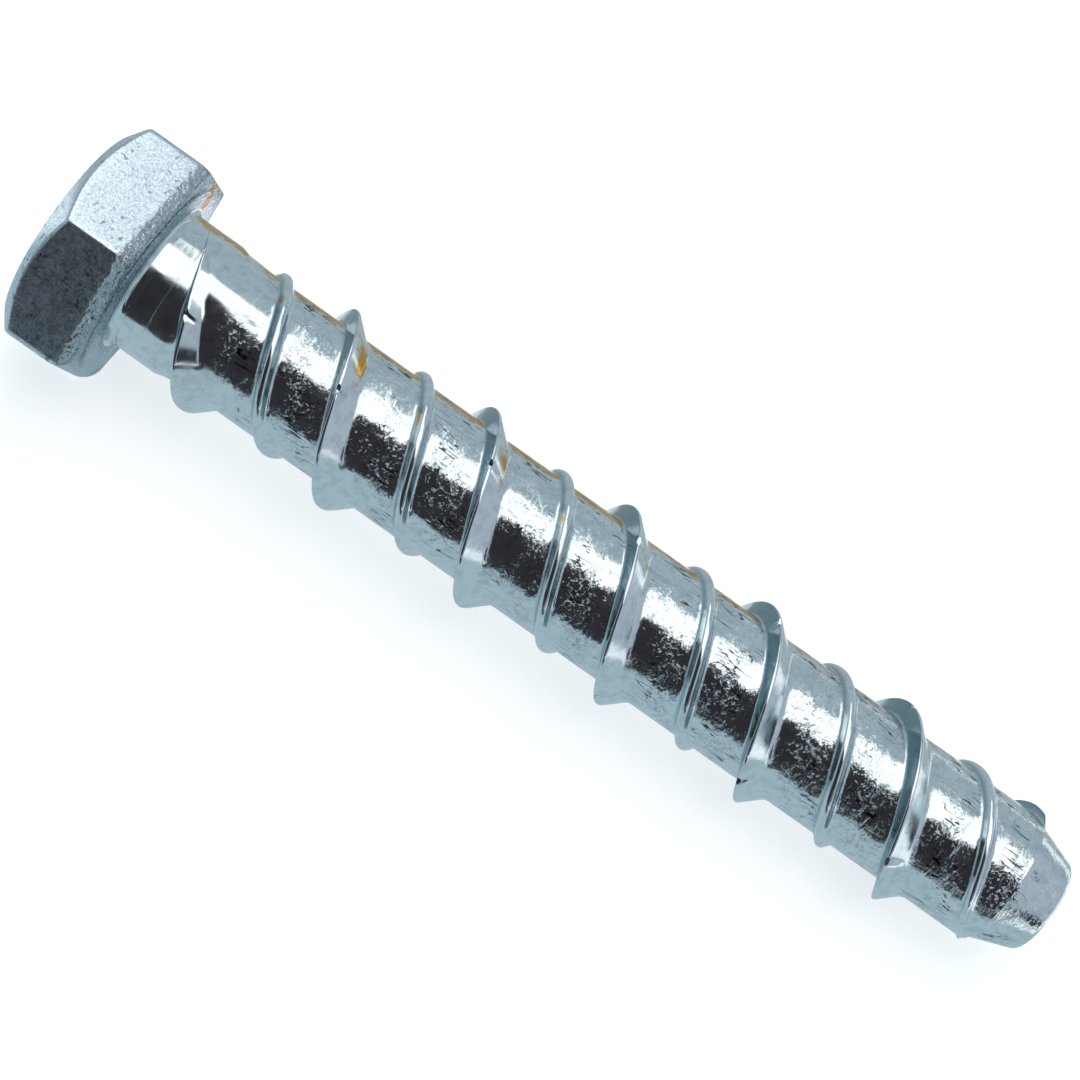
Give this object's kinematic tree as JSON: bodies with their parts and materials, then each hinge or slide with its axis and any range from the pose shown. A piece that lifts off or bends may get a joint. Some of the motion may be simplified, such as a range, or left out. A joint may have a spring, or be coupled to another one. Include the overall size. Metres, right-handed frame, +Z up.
{
  "type": "concrete screw",
  "caption": "Concrete screw with a hexagon head, a plain neck, a coarse thread of high and low ridges and a blunt cone tip, lying at rest.",
  "frame": {"origin": "centre of the footprint on the floor that the screw rests on", "axes": "+Z up; +X along the screw from the head to the tip, the axis falling slightly towards the tip; -Y is the side that the picture shows"},
  "size_m": [0.0816, 0.0192, 0.0168],
  "materials": {
    "zinc_plated_steel": "bright bluish zinc plating over forged and rolled steel"
  },
  "bodies": {
    "root": {"concrete_screw": "zinc_plated_steel"}
  },
  "joints": []
}
